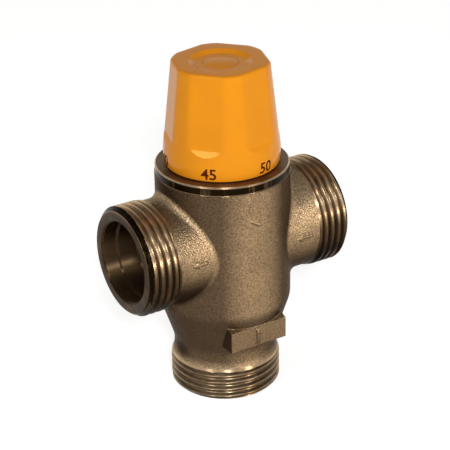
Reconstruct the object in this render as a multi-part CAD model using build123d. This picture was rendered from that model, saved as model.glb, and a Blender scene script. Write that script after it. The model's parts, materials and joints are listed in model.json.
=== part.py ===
from build123d import *
import math
import os

# A thermostatic diverter valve with three male pipe ports and a hexagonal setting cap.
# Millimetres, +Z up, origin at the centre of the bottom port's end face.
# The run of the two side ports lies along X, and the bottom port and the cap lie on Z.

# Body, outside
RUN_LENGTH = 69.6
RUN_HEIGHT = 48.8
HEAD_RISE = 24.0
RIM_DIAMETER = 39.8
RIM_BAND = 2.8
RIM_CHAMFER = 0.35
BARREL_DIAMETER = 40.2
NECK_DIAMETER = 32.0
NECK_FILLET = 2.6
LOWER_NECK_DIAMETER = 31.2
LOWER_NECK_HEIGHT = 15.8
SHOULDER_HEIGHT = 29.4
SHOULDER_ROUND = 9.0
WRENCH_WIDTH = 19.3
WRENCH_ACROSS = 38.0
WRENCH_BOTTOM = 19.2
WRENCH_TOP = 25.6
WRENCH_SLOPE = 22.0

# Port ends, male pipe thread
THREAD_DIAMETER = 33.249
THREAD_PITCH = 2.309
THREAD_DEPTH = 1.479
THREAD_FLANK = 27.5
THREAD_TURNS = 4
PORT_CHAMFER = 1.3
THREAD_RUNOUT = 1.35
COLLAR_DIAMETER = 32.6
COLLAR_LENGTH = 0.7
MOUTH_DIAMETER = 24.6
MOUTH_DEPTH = 4.6
MOUTH_CHAMFER = 0.5
BORE_DIAMETER = 23.4
SIDE_BORE_DEPTH = 11.0
PASSAGE_DIAMETER = 20.8
PASSAGE_WALL = 2.4
WINDOW_EDGE = 0.4
WINDOW_REACH = 6.0
COLLAR_FLARE = 2.0
PAD_SINK = 3.0

# Body, inside
CHAMBER_DIAMETER = 32.8
LOWER_CHAMBER = 8.4
UPPER_CHAMBER = 8.7
PARTITION = 4.0
THROAT_DIAMETER = 19.2
LIP_BORE = 17.4
LIP_HEIGHT = 10.0
LIP_THICKNESS = 4.0
HEAD_THREAD_DIAMETER = 30.0
HEAD_THREAD_LENGTH = 7.8
HEAD_CHAMFER = 0.8
SEAT_STANDOUT = 2.0
SPIGOT_DIAMETER = 27.2

# Clearances
RUNNING = 0.05
SEAT_GAP = 0.1
THREAD_GAP = 0.05
CAP_GAP = 0.3
STOP_GAP = 0.4
HOLE_GAP = 0.2

# Small finishing sizes
EDGE = 0.4
FINE_EDGE = 0.3
OVERCUT = 1.0

# Bonnet
BONNET_HEX = 24.0
HEX_SIDES = 6
BONNET_HEX_HEIGHT = 6.0
BONNET_HEX_CHAMFER = 0.9
BONNET_NECK_DIAMETER = 15.2
BONNET_NECK_RISE = 13.2
CARRIAGE_BORE = 18.4
SHOULDER_RISE = 4.8
KEY_WIDTH = 3.0
KEY_DEPTH = 1.1
KEYWAY_LENGTH = 17.0

# Spindle
STEM_DIAMETER = 8.0
SPINDLE_COLLAR_DIAMETER = 14.0
SPINDLE_COLLAR_HEIGHT = 2.0
THRUST_WASHER_THICKNESS = 0.6
SETTING_PITCH = 2.5
SETTING_TURNS = 0.5
DRIVE_SQUARE = 5.4
DRIVE_GAP = 1.2
DRIVE_ROUND = 0.5
CLIP_GROOVE = 0.7
CLIP_OPENING = 3.0

# Seals
STEM_RING_SECTION = 1.1
STEM_RING_PITCH = 3.5
BONNET_RING_SECTION = 1.5
SHUTTER_RING_SECTION = 1.4
GROOVE_SIDE_GAP = 0.3

# Setting cap
CAP_HEIGHT = 31.1
CAP_BOTTOM_DIAMETER = 33.8
CAP_SKIRT_DIAMETER = 34.7
CAP_SKIRT_HEIGHT = 4.3
CAP_TOP_DIAMETER = 29.0
CAP_FLATS = 6
CAP_FLAT_DEPTH = 0.85
CAP_FLAT_START = 9.2
CAP_LEDGE_DROP = 1.9
CAP_TURN = 41.5
CAP_WALL = 1.8
CAP_ROOF = 2.2
CAP_EDGE = 0.8
CAP_BULGE = 0.12
DISH_DIAMETER = 18.2
DISH_DEPTH = 0.9
DISH_SLOPE = 0.7
BOSS_WALL = 1.6
SOCKET_WEB = 2.0
PLUG_DIAMETER = 10.4
PLUG_THICKNESS = 1.7
PLUG_CROWN = 0.35
SCREW_DIAMETER = 4.0
SCREW_HEAD_DIAMETER = 7.6
SCREW_HEAD_HEIGHT = 2.4
SCREW_LENGTH = 9.0
SCREW_DRIVE = 2.5
SCREW_DRIVE_DEPTH = 1.3
SCREW_HEAD_CHAMFER = 0.8
SCREW_TIP_GAP = 1.0
SCREW_HEAD_GAP = 0.7
WASHER_DIAMETER = 8.8
WASHER_THICKNESS = 0.6

# Carriage, overtravel cup and its spring
OVERTRAVEL = 2.0
CARRIAGE_CAVITY = 15.2
CARRIAGE_BOTTOM_GAP = 0.7
CUP_RING_OFFSET = 0.7
CUP_RING_GROOVE = 0.5
CUP_DIAMETER = 14.8
CUP_FLANGE = 1.2
CUP_BOSS_DIAMETER = 6.8
CUP_BOSS_HEIGHT = 1.5
CUP_SOCKET_DEPTH = 1.9
CUP_RING_THICKNESS = 0.8
CUP_RING_BORE = 12.8
OVERTRAVEL_COIL = 12.2
OVERTRAVEL_WIRE = 1.1
OVERTRAVEL_LENGTH = 6.35
OVERTRAVEL_TURNS = 2.5

# Wax element, shutter and return spring
SHUTTER_STROKE = 4.0
SHUTTER_DIAMETER = 22.0
SHUTTER_WALL = 1.1
HUB_DIAMETER = 16.0
HUB_HEIGHT = 4.0
HUB_LIFT = 5.1
RIBS = 3
RIB_WIDTH = 2.2
BULB_DIAMETER = 12.4
BULB_LENGTH = 21.5
FLANGE_DIAMETER = 14.8
FLANGE_HEIGHT = 2.0
GUIDE_DIAMETER = 8.4
GUIDE_LENGTH = 4.0
PISTON_DIAMETER = 3.9
PISTON_ENGAGEMENT = 8.0
PISTON_SPARE = 2.5
BULB_TIP_CHAMFER = 1.5
ELEMENT_GROOVE = 0.5
ELEMENT_CLIP_OPENING = 4.0
CLIP_THICKNESS = 0.7
STEM_CLIP_WIDTH = 2.2
ELEMENT_CLIP_WIDTH = 1.0
RETURN_COIL = 14.9
RETURN_WIRE = 1.2
RETURN_TURNS = 7.0
GUIDE_RING_BORE = 13.2
GUIDE_RING_HEIGHT = 2.4
GUIDE_RIM_WALL = 0.9
GUIDE_ARM_WIDTH = 2.0
GUIDE_ARM_SINK = 0.3
SPRING_SEAT_EDGE = 0.2
CLOSED_COIL = 1.04

# A bar or box that stands on the height it is placed at
BASE = (Align.CENTER, Align.CENTER, Align.MIN)

# Levels on the valve's axis that several pieces share
RIM_HEIGHT = RUN_HEIGHT + HEAD_RISE
PARTITION_TOP = RUN_HEIGHT + PARTITION / 2
PARTITION_BOTTOM = RUN_HEIGHT - PARTITION / 2
LOWER_SEAT = PARTITION_BOTTOM - LOWER_CHAMBER
CHAMBER_TOP = PARTITION_TOP + UPPER_CHAMBER
UPPER_SEAT = CHAMBER_TOP - SEAT_STANDOUT
SHUTTER_TOP = UPPER_SEAT - SEAT_GAP
SHUTTER_BOTTOM = LOWER_SEAT + SHUTTER_STROKE + SEAT_GAP
HUB_BOTTOM = SHUTTER_BOTTOM + HUB_LIFT
HUB_TOP = HUB_BOTTOM + HUB_HEIGHT
FLANGE_TOP = HUB_TOP + FLANGE_HEIGHT
GUIDE_TOP = FLANGE_TOP + GUIDE_LENGTH
SPRING_SEAT = LIP_HEIGHT + LIP_THICKNESS
GUIDE_RING_TOP = SPRING_SEAT + GUIDE_RING_HEIGHT
HEAD_SHOULDER = RIM_HEIGHT - HEAD_THREAD_LENGTH
BONNET_HEX_TOP = RIM_HEIGHT + BONNET_HEX_HEIGHT
BONNET_NECK_TOP = RIM_HEIGHT + BONNET_NECK_RISE
SPINDLE_SHOULDER = RIM_HEIGHT + SHOULDER_RISE
WASHER_BOTTOM = SPINDLE_SHOULDER - RUNNING - THRUST_WASHER_THICKNESS
COLLAR_BOTTOM = WASHER_BOTTOM - SPINDLE_COLLAR_HEIGHT
SETTING_TRAVEL = SETTING_PITCH * SETTING_TURNS
CARRIAGE_TOP = COLLAR_BOTTOM - SETTING_TRAVEL - STOP_GAP
CARRIAGE_BOTTOM = UPPER_SEAT + CARRIAGE_BOTTOM_GAP
CUP_RING_BOTTOM = CARRIAGE_BOTTOM + CUP_RING_OFFSET
CUP_BOTTOM = CUP_RING_BOTTOM + CUP_RING_THICKNESS + RUNNING
CUP_TOP = CUP_BOTTOM + CUP_FLANGE
NUT_BOTTOM = CUP_TOP + OVERTRAVEL_LENGTH
PISTON_TOP = CUP_BOTTOM + CUP_SOCKET_DEPTH
SPINDLE_BOTTOM = CUP_TOP + CUP_BOSS_HEIGHT + OVERTRAVEL + SETTING_TRAVEL + STOP_GAP
PISTON_BOTTOM = GUIDE_TOP - PISTON_ENGAGEMENT
STEM_CLIP_BOTTOM = BONNET_NECK_TOP + SEAT_GAP
DRIVE_BOTTOM = STEM_CLIP_BOTTOM + CLIP_THICKNESS + DRIVE_GAP / 2
CAP_BOTTOM = RIM_HEIGHT + CAP_GAP
CAP_TOP = CAP_BOTTOM + CAP_HEIGHT
SKIRT_TOP = CAP_BOTTOM + CAP_SKIRT_HEIGHT
DISH_FLOOR = CAP_TOP - DISH_DEPTH
PLUG_BOTTOM = DISH_FLOOR - PLUG_THICKNESS
HEAD_BOTTOM = PLUG_BOTTOM - SCREW_HEAD_GAP - SCREW_HEAD_HEIGHT
WEB_TOP = HEAD_BOTTOM - WASHER_THICKNESS
SOCKET_TOP = WEB_TOP - SOCKET_WEB
SPINDLE_TOP = SOCKET_TOP - SEAT_GAP


# Shapes used by many pieces

def turned(*corners):
    """A solid turned about Z from a closed outline of (radius, height) corners."""
    outline = make_face(Polyline(*corners, close=True))
    return revolve(Plane.XZ * outline, Axis.Z)


def tube(outer, inner, bottom, top):
    """A plain ring of two diameters between two heights."""
    return turned((inner / 2, bottom), (outer / 2, bottom), (outer / 2, top), (inner / 2, top))


def rod(diameter, bottom, top):
    """A plain round bar between two heights."""
    return Pos(0, 0, bottom) * Cylinder(diameter / 2, top - bottom, align=BASE)


def o_ring(section, inner, height):
    """A round-section ring centred on a height."""
    centre = inner / 2 + section / 2
    return revolve(Plane.XZ * (Pos(centre, height) * Circle(section / 2)), Axis.Z)


def coil_spring(coil, wire, bottom, top, turns):
    """A compression spring with one closed turn at each end, kept between two heights."""
    low = bottom + wire / 2
    high = top - wire / 2
    closed = wire * CLOSED_COIL
    active = turns - 2
    middle = high - low - 2 * closed
    first = Pos(0, 0, low) * Helix(closed, closed, coil / 2)
    body = Pos(0, 0, low + closed) * Helix(middle / active, middle, coil / 2)
    turn = Rot(0, 0, 360 * (active % 1))
    last = Pos(0, 0, high - closed) * turn * Helix(closed, closed, coil / 2)
    path = Wire([first.edge(), body.edge(), last.edge()])
    section = Plane(path @ 0, z_dir=path % 0) * Circle(wire / 2)
    return sweep(section, path=path, is_frenet=True)


# Body

def port_end():
    """A threaded port end on Z with its end face at zero, as a solid bar."""
    crest = THREAD_DIAMETER / 2
    root = crest - THREAD_DEPTH
    flank = THREAD_DEPTH * math.tan(math.radians(THREAD_FLANK))
    flat = THREAD_PITCH / 2 - flank
    level = PORT_CHAMFER
    corners = [(0, 0), (crest - PORT_CHAMFER, 0), (crest, level)]
    for turn in range(THREAD_TURNS - 1):
        corners.append((crest, level + flat))
        corners.append((root, level + flat + flank))
        corners.append((root, level + 2 * flat + flank))
        level = level + THREAD_PITCH
        corners.append((crest, level))
    corners.append((crest, level + flat))
    corners.append((root, level + flat + flank))
    level = level + flat + THREAD_RUNOUT
    corners.append((root, level - THREAD_DEPTH / 3))
    corners.append((COLLAR_DIAMETER / 2, level))
    corners.append((NECK_DIAMETER / 2, level + COLLAR_LENGTH))
    corners.append((0, level + COLLAR_LENGTH))
    return turned(*corners), level + COLLAR_LENGTH


def barrel(port_length):
    """The cast barrel from the bottom port's collar to the turned rim."""
    neck = LOWER_NECK_DIAMETER / 2
    wide = BARREL_DIAMETER / 2
    rim = RIM_DIAMETER / 2
    band = RIM_HEIGHT - RIM_BAND
    collar = Line((0, port_length), (NECK_DIAMETER / 2, port_length))
    flare = Line(collar @ 1, (neck, port_length + COLLAR_FLARE))
    side = FilletPolyline(
        flare @ 1,
        (neck, LOWER_NECK_HEIGHT),
        (wide, SHOULDER_HEIGHT),
        (wide, band),
        radius=SHOULDER_ROUND,
    )
    top = Polyline(
        side @ 1,
        (rim, band),
        (rim, RIM_HEIGHT - RIM_CHAMFER),
        (rim - RIM_CHAMFER, RIM_HEIGHT),
        (0, RIM_HEIGHT),
    )
    axis = Line(top @ 1, collar @ 0)
    return revolve(Plane.XZ * make_face([collar, flare, side, top, axis]), Axis.Z)


def wrench_pad():
    """A flat pad for a wrench on the front of the lower neck."""
    face = WRENCH_ACROSS / 2
    depth = face - LOWER_NECK_DIAMETER / 2 + PAD_SINK
    rise = depth * math.tan(math.radians(WRENCH_SLOPE))
    side = make_face(Polyline(
        (-face, WRENCH_BOTTOM),
        (-face, WRENCH_TOP),
        (depth - face, WRENCH_TOP + rise),
        (depth - face, WRENCH_BOTTOM),
        close=True,
    ))
    return extrude(Plane.YZ * side, WRENCH_WIDTH / 2, both=True)


def body_inside():
    """The turned and cored hollow on Z."""
    mouth = MOUTH_DIAMETER / 2
    bore = BORE_DIAMETER / 2
    groove = SHUTTER_DIAMETER / 2 + RUNNING + SHUTTER_RING_SECTION
    groove_half = SHUTTER_RING_SECTION / 2 + GROOVE_SIDE_GAP
    sleeve = SHUTTER_DIAMETER / 2 + RUNNING
    chamber = CHAMBER_DIAMETER / 2
    head = HEAD_THREAD_DIAMETER / 2
    return turned(
        (0, -OVERCUT),
        (mouth + MOUTH_CHAMFER + OVERCUT, -OVERCUT),
        (mouth, MOUTH_CHAMFER),
        (mouth, MOUTH_DEPTH),
        (bore, MOUTH_DEPTH + mouth - bore),
        (bore, LIP_HEIGHT),
        (LIP_BORE / 2, LIP_HEIGHT),
        (LIP_BORE / 2, SPRING_SEAT),
        (THROAT_DIAMETER / 2, SPRING_SEAT),
        (THROAT_DIAMETER / 2, LOWER_SEAT),
        (chamber, LOWER_SEAT),
        (chamber, PARTITION_BOTTOM),
        (sleeve, PARTITION_BOTTOM),
        (sleeve, RUN_HEIGHT - groove_half),
        (groove, RUN_HEIGHT - groove_half),
        (groove, RUN_HEIGHT + groove_half),
        (sleeve, RUN_HEIGHT + groove_half),
        (sleeve, PARTITION_TOP),
        (chamber, PARTITION_TOP),
        (chamber, CHAMBER_TOP),
        (SPIGOT_DIAMETER / 2, CHAMBER_TOP),
        (SPIGOT_DIAMETER / 2, HEAD_SHOULDER),
        (head, HEAD_SHOULDER),
        (head, RIM_HEIGHT - HEAD_CHAMFER),
        (head + HEAD_CHAMFER + OVERCUT, RIM_HEIGHT + OVERCUT),
        (0, RIM_HEIGHT + OVERCUT),
    )


def side_bore():
    """The left port's stepped bore, drawn on Z from its end face inwards."""
    mouth = MOUTH_DIAMETER / 2
    bore = BORE_DIAMETER / 2
    passage = PASSAGE_DIAMETER / 2
    end = RUN_LENGTH / 2 - CHAMBER_DIAMETER / 2 - PASSAGE_WALL
    return turned(
        (0, -OVERCUT),
        (mouth + MOUTH_CHAMFER + OVERCUT, -OVERCUT),
        (mouth, MOUTH_CHAMFER),
        (mouth, MOUTH_DEPTH),
        (bore, MOUTH_DEPTH + mouth - bore),
        (bore, SIDE_BORE_DEPTH),
        (passage, SIDE_BORE_DEPTH + bore - passage),
        (passage, end),
        (0, end),
    )


def chamber_window(upper):
    """The half-round window from a side passage into its own chamber."""
    start = CHAMBER_DIAMETER / 2 + PASSAGE_WALL
    length = PASSAGE_WALL + WINDOW_REACH
    round_cut = Pos(start - length, 0, RUN_HEIGHT) * Rot(0, 90, 0)
    window = round_cut * Cylinder(PASSAGE_DIAMETER / 2 - WINDOW_EDGE, length + WINDOW_EDGE, align=BASE)
    floor = PARTITION_TOP if upper else LOWER_SEAT
    ceiling = CHAMBER_TOP if upper else PARTITION_BOTTOM
    slab = Pos(0, 0, floor + WINDOW_EDGE) * Box(
        RUN_LENGTH, RUN_LENGTH, ceiling - floor - 2 * WINDOW_EDGE, align=BASE
    )
    return window & slab


def valve_body():
    """The cast and turned body with its three port ends, as one piece."""
    end, port_length = port_end()
    half = RUN_LENGTH / 2
    to_left = Pos(-half, 0, RUN_HEIGHT) * Rot(0, 90, 0)
    to_right = Pos(half, 0, RUN_HEIGHT) * Rot(0, -90, 0)
    necks = to_left * rod(NECK_DIAMETER, 0, RUN_LENGTH)
    cast = barrel(port_length) + necks
    blends = [
        edge for edge in cast.edges()
        if edge.geom_type not in (GeomType.CIRCLE, GeomType.LINE)
        and abs(edge.center().Z - RUN_HEIGHT) < NECK_DIAMETER
    ]
    room = HEAD_RISE - RIM_BAND - NECK_DIAMETER / 2
    cast = fillet(blends, min(NECK_FILLET, room / 2))
    between_ports = Box(RUN_LENGTH - 2 * port_length, RUN_LENGTH, 2 * RIM_HEIGHT)
    cast = cast & between_ports
    cast = cast + wrench_pad() + Rot(0, 0, 180) * wrench_pad()
    solid = cast + end + to_left * end + to_right * end
    bore = side_bore()
    hollow = body_inside() + to_left * bore + to_right * bore
    hollow = hollow + Rot(0, 0, 180) * chamber_window(False) + chamber_window(True)
    return solid - hollow


# Headwork

def bonnet():
    """The screwed-in headwork that guides the carriage and the spindle."""
    spigot = SPIGOT_DIAMETER / 2 - RUNNING
    groove = SPIGOT_DIAMETER / 2 - BONNET_RING_SECTION
    middle = (CHAMBER_TOP + HEAD_SHOULDER) / 2
    half = BONNET_RING_SECTION / 2 + GROOVE_SIDE_GAP
    head = HEAD_THREAD_DIAMETER / 2 - THREAD_GAP
    neck = BONNET_NECK_DIAMETER / 2
    outside = turned(
        (0, UPPER_SEAT),
        (spigot - EDGE, UPPER_SEAT),
        (spigot, UPPER_SEAT + EDGE),
        (spigot, middle - half),
        (groove, middle - half),
        (groove, middle + half),
        (spigot, middle + half),
        (spigot, HEAD_SHOULDER),
        (head, HEAD_SHOULDER),
        (head, RIM_HEIGHT - EDGE),
        (head - EDGE, RIM_HEIGHT),
        (neck, RIM_HEIGHT),
        (neck, BONNET_NECK_TOP - EDGE),
        (neck - EDGE, BONNET_NECK_TOP),
        (0, BONNET_NECK_TOP),
    )
    hexagon = RegularPolygon(BONNET_HEX / 2, HEX_SIDES, major_radius=False)
    nut = Pos(0, 0, RIM_HEIGHT) * extrude(hexagon, BONNET_HEX_HEIGHT)
    corner = BONNET_HEX / 2 / math.cos(math.pi / HEX_SIDES)
    trim = turned(
        (0, RIM_HEIGHT),
        (corner, RIM_HEIGHT),
        (corner, BONNET_HEX_TOP - BONNET_HEX_CHAMFER),
        (BONNET_HEX / 2, BONNET_HEX_TOP),
        (0, BONNET_HEX_TOP),
    )
    cavity = rod(CARRIAGE_BORE, UPPER_SEAT - OVERCUT, SPINDLE_SHOULDER)
    stem_bore = STEM_DIAMETER + 2 * RUNNING
    stem = rod(stem_bore, SPINDLE_SHOULDER - OVERCUT, BONNET_NECK_TOP + OVERCUT)
    keyway = Pos(0, 0, SPINDLE_SHOULDER - KEYWAY_LENGTH) * Box(
        CARRIAGE_BORE + 2 * KEY_DEPTH, KEY_WIDTH, KEYWAY_LENGTH, align=BASE
    )
    return outside + (nut & trim) - cavity - stem - keyway


def bonnet_o_ring():
    """The seal between the bonnet's spigot and the body."""
    middle = (CHAMBER_TOP + HEAD_SHOULDER) / 2
    section = BONNET_RING_SECTION - RUNNING
    return o_ring(section, SPIGOT_DIAMETER - 2 * BONNET_RING_SECTION + RUNNING, middle)


# Setting spindle and what turns with it

def ring_levels():
    """The heights of the two stem seals inside the bonnet's neck."""
    middle = (SPINDLE_SHOULDER + BONNET_NECK_TOP) / 2
    return middle - STEM_RING_PITCH / 2, middle + STEM_RING_PITCH / 2


def spindle():
    """The setting spindle with its collar, seal grooves, clip groove and square drive."""
    stem = STEM_DIAMETER / 2
    groove = stem + RUNNING - STEM_RING_SECTION
    half = STEM_RING_SECTION / 2 + GROOVE_SIDE_GAP
    collar = SPINDLE_COLLAR_DIAMETER / 2
    neck = stem - CLIP_GROOVE
    low, high = ring_levels()
    shaft = turned(
        (0, SPINDLE_BOTTOM),
        (stem - EDGE, SPINDLE_BOTTOM),
        (stem, SPINDLE_BOTTOM + EDGE),
        (stem, COLLAR_BOTTOM),
        (collar, COLLAR_BOTTOM),
        (collar, WASHER_BOTTOM),
        (stem, WASHER_BOTTOM),
        (stem, low - half),
        (groove, low - half),
        (groove, low + half),
        (stem, low + half),
        (stem, high - half),
        (groove, high - half),
        (groove, high + half),
        (stem, high + half),
        (stem, STEM_CLIP_BOTTOM),
        (neck, STEM_CLIP_BOTTOM),
        (neck, STEM_CLIP_BOTTOM + CLIP_THICKNESS),
        (stem, STEM_CLIP_BOTTOM + CLIP_THICKNESS),
        (stem, DRIVE_BOTTOM),
        (0, DRIVE_BOTTOM),
    )
    square = Pos(0, 0, DRIVE_BOTTOM) * Box(
        DRIVE_SQUARE, DRIVE_SQUARE, SPINDLE_TOP - DRIVE_BOTTOM, align=BASE
    )
    square = fillet(square.edges().filter_by(Axis.Z), DRIVE_ROUND)
    tapping = SCREW_DIAMETER + 2 * THREAD_GAP
    tapped = rod(tapping, SPINDLE_TOP - SCREW_LENGTH, SPINDLE_TOP + OVERCUT)
    return shaft + square - tapped


def thrust_washer():
    """The low-friction washer between the spindle's collar and the bonnet."""
    inner = STEM_DIAMETER + 2 * RUNNING
    top = WASHER_BOTTOM + THRUST_WASHER_THICKNESS
    return tube(SPINDLE_COLLAR_DIAMETER, inner, WASHER_BOTTOM, top)


def stem_o_ring(height):
    """A seal in one of the stem's grooves."""
    inner = STEM_DIAMETER + 2 * RUNNING - 2 * STEM_RING_SECTION + RUNNING
    return o_ring(STEM_RING_SECTION - RUNNING, inner, height)


def snap_ring(inner, outer, bottom, thickness, opening):
    """A flat ring with an open gap on its +X side."""
    ring = tube(outer, inner, bottom, bottom + thickness)
    gap = Box(outer, opening, thickness + 2 * OVERCUT, align=BASE)
    return ring - Pos(outer / 2, 0, bottom - OVERCUT) * gap


def stem_clip():
    """The snap ring that keeps the spindle from dropping into the bonnet."""
    neck = STEM_DIAMETER - 2 * CLIP_GROOVE
    outer = neck + 2 * STEM_CLIP_WIDTH
    return snap_ring(neck, outer, STEM_CLIP_BOTTOM, CLIP_THICKNESS, CLIP_OPENING)


def cap_radius(height):
    """The cap's cone radius at a height above its skirt."""
    share = (height - SKIRT_TOP) / (CAP_TOP - SKIRT_TOP)
    return CAP_SKIRT_DIAMETER / 2 + share * (CAP_TOP_DIAMETER - CAP_SKIRT_DIAMETER) / 2


def cap_flat():
    """The cut that leaves one broad flat and its sloping ledge, on the +X side."""
    ledge_top = CAP_BOTTOM + CAP_FLAT_START
    ledge_low = ledge_top - CAP_LEDGE_DROP
    high = CAP_TOP + OVERCUT
    beyond = ledge_low - OVERCUT * CAP_LEDGE_DROP / CAP_FLAT_DEPTH
    cut = make_face(Polyline(
        (cap_radius(ledge_top) - CAP_FLAT_DEPTH, ledge_top),
        (cap_radius(ledge_low), ledge_low),
        (cap_radius(ledge_low) + OVERCUT, beyond),
        (cap_radius(ledge_low) + OVERCUT, high),
        (cap_radius(high) - CAP_FLAT_DEPTH, high),
        close=True,
    ))
    return extrude(Plane.XZ * cut, CAP_SKIRT_DIAMETER / 2, both=True)


def cap():
    """The moulded hexagonal cap: a tapered shell with a drive boss inside."""
    skirt = CAP_SKIRT_DIAMETER / 2
    foot = CAP_BOTTOM_DIAMETER / 2
    lower = Polyline(
        (0, CAP_BOTTOM),
        (foot - FINE_EDGE, CAP_BOTTOM),
        (foot, CAP_BOTTOM + FINE_EDGE),
    )
    bulge = ThreePointArc(
        lower @ 1,
        ((foot + skirt) / 2 + CAP_BULGE, CAP_BOTTOM + CAP_SKIRT_HEIGHT / 2),
        (skirt, SKIRT_TOP),
    )
    upper = Polyline(bulge @ 1, (CAP_TOP_DIAMETER / 2, CAP_TOP), (0, CAP_TOP), lower @ 0)
    shell = revolve(Plane.XZ * make_face([lower, bulge, upper]), Axis.Z)
    for side in range(CAP_FLATS):
        shell = shell - Rot(0, 0, CAP_TURN + side * 360 / CAP_FLATS) * cap_flat()
    shell = fillet(shell.faces().sort_by(Axis.Z)[-1].edges(), CAP_EDGE)
    inset = CAP_FLAT_DEPTH + CAP_WALL
    roof = DISH_FLOOR - CAP_ROOF
    shell = shell - turned(
        (0, CAP_BOTTOM - OVERCUT),
        (cap_radius(CAP_BOTTOM) - inset, CAP_BOTTOM - OVERCUT),
        (cap_radius(CAP_BOTTOM) - inset, CAP_BOTTOM),
        (cap_radius(roof) - inset, roof),
        (0, roof),
    )
    dish = DISH_DIAMETER / 2
    shell = shell - turned(
        (0, DISH_FLOOR),
        (dish - DISH_SLOPE, DISH_FLOOR),
        (dish, CAP_TOP),
        (dish, CAP_TOP + OVERCUT),
        (0, CAP_TOP + OVERCUT),
    )
    boss = rod(PLUG_DIAMETER + 2 * BOSS_WALL, DRIVE_BOTTOM + SEAT_GAP, roof + CAP_ROOF / 2)
    socket_side = DRIVE_SQUARE + 2 * SEAT_GAP
    socket = Pos(0, 0, DRIVE_BOTTOM - OVERCUT) * Box(
        socket_side, socket_side, SOCKET_TOP - DRIVE_BOTTOM + OVERCUT, align=BASE
    )
    hole = rod(SCREW_DIAMETER + 2 * HOLE_GAP, SOCKET_TOP - OVERCUT, WEB_TOP + OVERCUT)
    well = rod(WASHER_DIAMETER + 2 * HOLE_GAP, WEB_TOP, DISH_FLOOR)
    seat = rod(PLUG_DIAMETER + 2 * RUNNING, PLUG_BOTTOM, DISH_FLOOR + OVERCUT)
    return shell + boss - socket - hole - well - seat


def cap_plug():
    """The round crowned plug that covers the cap's screw."""
    top = DISH_FLOOR + PLUG_CROWN
    ball = (PLUG_DIAMETER ** 2 / 4 + PLUG_CROWN ** 2) / (2 * PLUG_CROWN)
    return rod(PLUG_DIAMETER, PLUG_BOTTOM, top) & Pos(0, 0, top - ball) * Sphere(ball)


def screw_washer():
    """The washer under the cap screw's head."""
    return tube(WASHER_DIAMETER, SCREW_DIAMETER + 2 * HOLE_GAP, WEB_TOP, HEAD_BOTTOM)


def cap_screw():
    """The screw that holds the cap on the spindle."""
    head = SCREW_HEAD_DIAMETER / 2
    top = HEAD_BOTTOM + SCREW_HEAD_HEIGHT
    tip = SPINDLE_TOP - SCREW_LENGTH + SCREW_TIP_GAP
    shank = SCREW_DIAMETER / 2
    screw = turned(
        (0, tip),
        (shank - EDGE, tip),
        (shank, tip + EDGE),
        (shank, HEAD_BOTTOM),
        (head, HEAD_BOTTOM),
        (head, top - SCREW_HEAD_CHAMFER),
        (head - SCREW_HEAD_CHAMFER, top),
        (0, top),
    )
    key = RegularPolygon(SCREW_DRIVE / 2, HEX_SIDES, major_radius=False)
    return screw - Pos(0, 0, top - SCREW_DRIVE_DEPTH) * extrude(key, SCREW_DRIVE_DEPTH + OVERCUT)


# Carriage and overtravel cup

def carriage():
    """The keyed nut that the spindle's thread lifts and lowers."""
    outer = CARRIAGE_BORE / 2 - RUNNING
    cavity = CARRIAGE_CAVITY / 2
    lip = cavity + CUP_RING_GROOVE
    ring_top = CUP_RING_BOTTOM + CUP_RING_THICKNESS
    nut = STEM_DIAMETER / 2 + THREAD_GAP
    sleeve = turned(
        (nut, CARRIAGE_TOP),
        (outer - EDGE, CARRIAGE_TOP),
        (outer, CARRIAGE_TOP - EDGE),
        (outer, CARRIAGE_BOTTOM),
        (cavity, CARRIAGE_BOTTOM),
        (cavity, CUP_RING_BOTTOM),
        (lip, CUP_RING_BOTTOM),
        (lip, ring_top),
        (cavity, ring_top),
        (cavity, NUT_BOTTOM),
        (nut, NUT_BOTTOM),
    )
    key_length = KEYWAY_LENGTH / 2
    lugs = Pos(0, 0, CARRIAGE_TOP - key_length) * Box(
        CARRIAGE_BORE + 2 * KEY_DEPTH - 2 * SEAT_GAP,
        KEY_WIDTH - 2 * SEAT_GAP,
        key_length,
        align=BASE,
    )
    core = rod(2 * lip, CARRIAGE_TOP - key_length - OVERCUT, CARRIAGE_TOP + OVERCUT)
    lugs = lugs - core
    return sleeve + lugs


def cup_ring():
    """The internal snap ring that the overtravel cup rests on."""
    outer = CARRIAGE_CAVITY + 2 * CUP_RING_GROOVE
    return snap_ring(CUP_RING_BORE, outer, CUP_RING_BOTTOM, CUP_RING_THICKNESS, CLIP_OPENING)


def overtravel_cup():
    """The flanged cup that takes the piston's thrust."""
    boss = CUP_BOSS_DIAMETER / 2
    flange = CUP_DIAMETER / 2
    socket = PISTON_DIAMETER / 2 + RUNNING
    return turned(
        (socket, CUP_BOTTOM),
        (flange, CUP_BOTTOM),
        (flange, CUP_TOP),
        (boss, CUP_TOP),
        (boss, CUP_TOP + CUP_BOSS_HEIGHT - FINE_EDGE),
        (boss - FINE_EDGE, CUP_TOP + CUP_BOSS_HEIGHT),
        (0, CUP_TOP + CUP_BOSS_HEIGHT),
        (0, PISTON_TOP),
        (socket, PISTON_TOP),
    )


def overtravel_spring():
    """The stiff spring that gives way once the shutter is on its lower seat."""
    return coil_spring(OVERTRAVEL_COIL, OVERTRAVEL_WIRE, CUP_TOP, NUT_BOTTOM, OVERTRAVEL_TURNS)


def element_piston():
    """The push rod of the wax element."""
    radius = PISTON_DIAMETER / 2
    return turned(
        (0, PISTON_BOTTOM),
        (radius - FINE_EDGE, PISTON_BOTTOM),
        (radius, PISTON_BOTTOM + FINE_EDGE),
        (radius, PISTON_TOP),
        (0, PISTON_TOP),
    )


# Shutter group

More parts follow.
